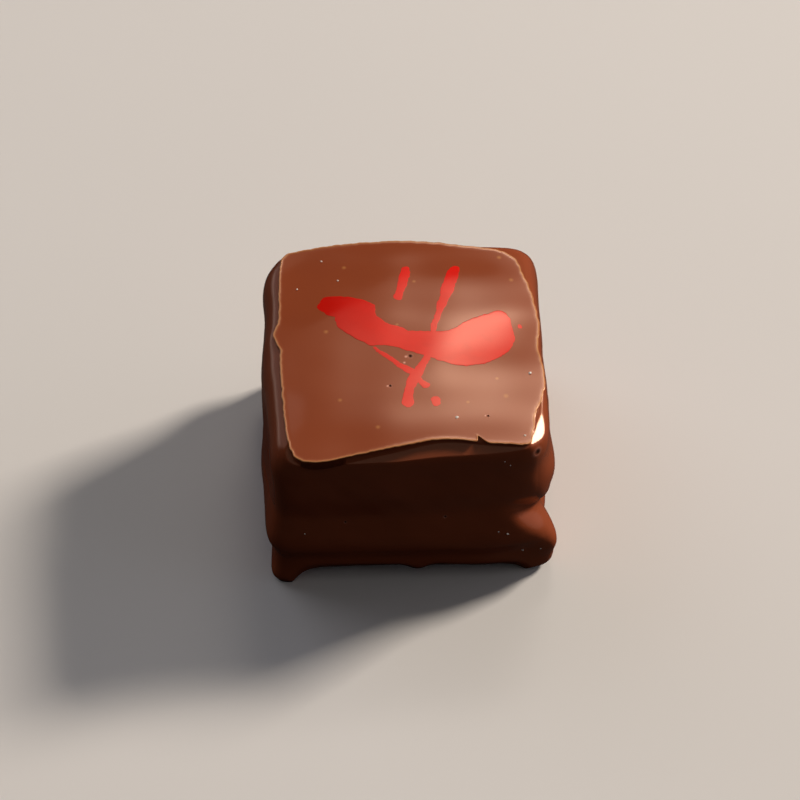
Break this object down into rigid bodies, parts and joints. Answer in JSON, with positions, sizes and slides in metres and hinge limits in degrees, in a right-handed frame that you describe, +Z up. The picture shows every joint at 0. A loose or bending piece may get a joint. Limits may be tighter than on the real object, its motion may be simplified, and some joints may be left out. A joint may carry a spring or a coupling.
{
  "type": "chocolate bonbon",
  "caption": "Square enrobed chocolate with a flat pressed top, a thin lip round it, rounded sagging sides and a foot at the base, printed with an abstract red splash.",
  "frame": {"origin": "centre of the bounding box at the base, on the surface that the bonbon rests on", "axes": "+Z up out of the pressed top, -Y out of the front side, whose edge has the chipped lip, +X to the right as seen from the front"},
  "size_m": [0.026, 0.0262, 0.0181],
  "materials": {
    "chocolate": "tempered chocolate, satin and smooth on the pressed top, a little glossier and wavy on the sides"
  },
  "bodies": {
    "root": {"bonbon": "chocolate"}
  },
  "joints": []
}
